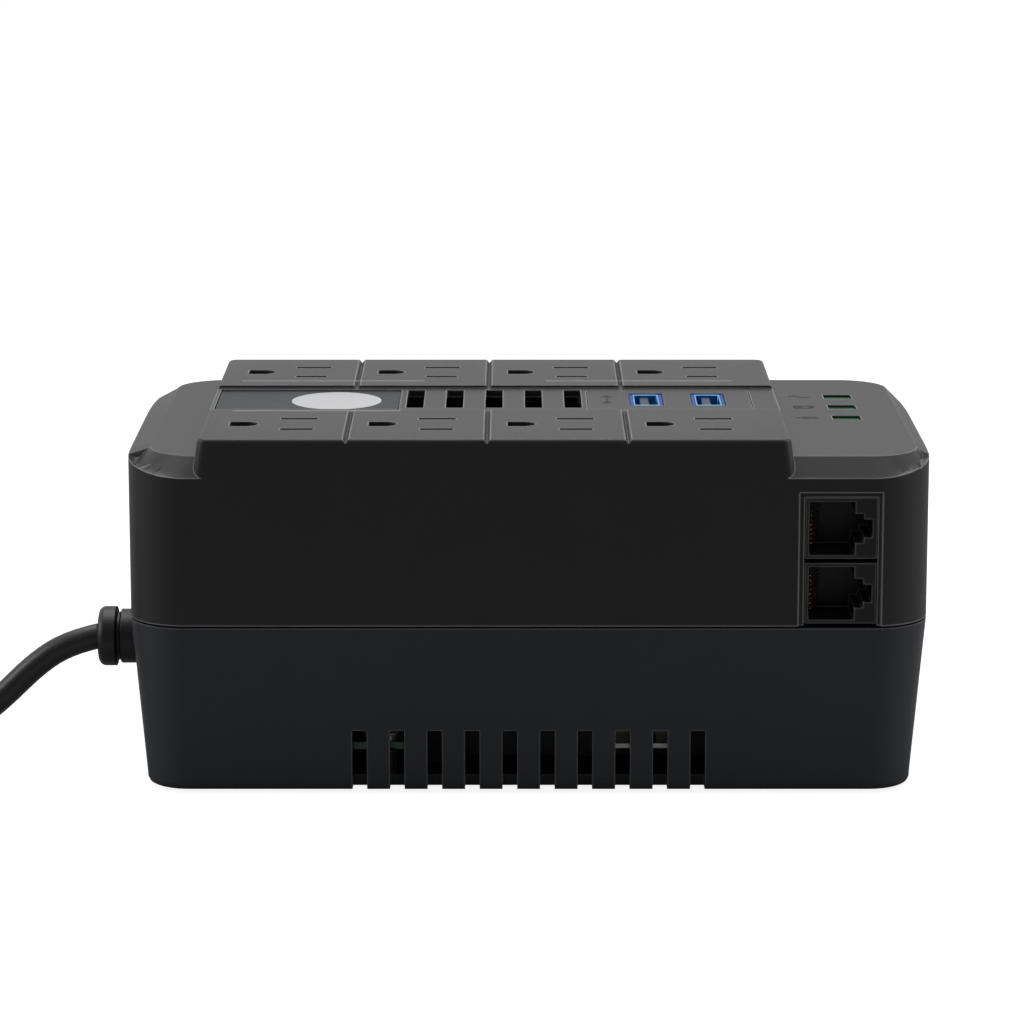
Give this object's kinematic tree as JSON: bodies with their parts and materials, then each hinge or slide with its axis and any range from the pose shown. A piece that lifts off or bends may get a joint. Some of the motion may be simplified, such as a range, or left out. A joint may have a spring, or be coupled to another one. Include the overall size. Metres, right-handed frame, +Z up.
{
  "type": "uninterruptible power supply",
  "caption": "Compact black power backup box with a raised deck of grounded outlets, charging sockets, modular jacks, status lights, side cord and vents.",
  "frame": {"origin": "on the floor, below the middle of the body", "axes": "+X to the right along the long front face, +Y from the front to the back, +Z up"},
  "size_m": [0.3455, 0.1317, 0.079],
  "materials": {
    "lower_shell_black": "fine moulded texture, satin black",
    "upper_shell_black": "fine moulded texture, satin black",
    "black_rubber": "matt black",
    "cord_jacket": "satin black sheath",
    "tie_band": "woven band",
    "zinc_steel": "zinc plated",
    "label_gloss": "gloss dark blue grey",
    "bezel_black": "satin black",
    "usb_blue": "gloss blue",
    "bright_steel": "nickel plated",
    "circuit_board": "green solder mask",
    "green_guide": "clear green",
    "green_lamp": "green",
    "jack_black": "satin black",
    "gold_wire": "gold flash",
    "tray_white": "natural moulded",
    "contact_brass": "rolled brass",
    "battery_case": "dark grey",
    "wire_insulation": "red and black insulation",
    "lamination_steel": "varnished laminations",
    "coil_tape": "yellow tape",
    "relay_case": "blue",
    "capacitor_sleeve": "dark sleeve",
    "sink_aluminium": "extruded",
    "component_black": "moulded",
    "button_grey": "satin grey",
    "button_red": "red"
  },
  "bodies": {
    "base": {"back_contact_carrier": "tray_white", "back_ground_bar": "contact_brass", "back_line_bar": "contact_brass", "back_neutral_bar": "contact_brass", "battery": "battery_case", "battery_leads": "wire_insulation", "battery_strap": "zinc_steel", "battery_terminals": "contact_brass", "boost_relay": "relay_case", "breaker_body": "component_black", "breaker_nut": "bright_steel", "buzzer": "component_black", "capacitors": "capacitor_sleeve", "cord_coil": "cord_jacket", "cord_tail": "cord_jacket", "cord_tie": "tie_band", "front_contact_carrier": "tray_white", "front_ground_bar": "contact_brass", "front_line_bar": "contact_brass", "front_neutral_bar": "contact_brass", "heat_sink": "sink_aluminium", "housing_screws": "zinc_steel", "jack_board": "circuit_board", "jack_contacts_lower": "gold_wire", "jack_contacts_upper": "gold_wire", "jack_housing_lower": "jack_black", "jack_housing_upper": "jack_black", "label_plate": "label_gloss", "led_board": "circuit_board", "led_guide_back": "green_guide", "led_guide_front": "green_guide", "led_guide_middle": "green_guide", "lower_housing": "lower_shell_black", "main_board": "circuit_board", "mains_leads": "wire_insulation", "plug_blades": "contact_brass", "plug_body": "black_rubber", "power_cord": "cord_jacket", "power_switch": "component_black", "power_transistors": "component_black", "rubber_feet": "black_rubber", "small_screws": "zinc_steel", "status_leds": "green_lamp", "strain_relief": "black_rubber", "switch_bracket": "tray_white", "transfer_relay": "relay_case", "transformer_coil": "coil_tape", "transformer_core": "lamination_steel", "transformer_plate": "zinc_steel", "transformer_screws": "zinc_steel", "upper_housing": "upper_shell_black", "usb_bezel": "bezel_black", "usb_board": "circuit_board", "usb_insert_left": "usb_blue", "usb_insert_right": "usb_blue", "usb_shell_left": "bright_steel", "usb_shell_right": "bright_steel"},
    "power_button": {"power_button": "button_grey"},
    "reset_button": {"breaker_button": "button_red"}
  },
  "joints": [
    {"name": "power_button_press", "type": "slide", "parent": "base", "child": "power_button", "axis": [0, -1, 0], "range_m": [0, 0.0025], "stiffness_N_per_m": 300},
    {"name": "reset_button_trip", "type": "slide", "parent": "base", "child": "reset_button", "axis": [0, 1, 0], "range_m": [0, 0.0025], "stiffness_N_per_m": 300}
  ]
}
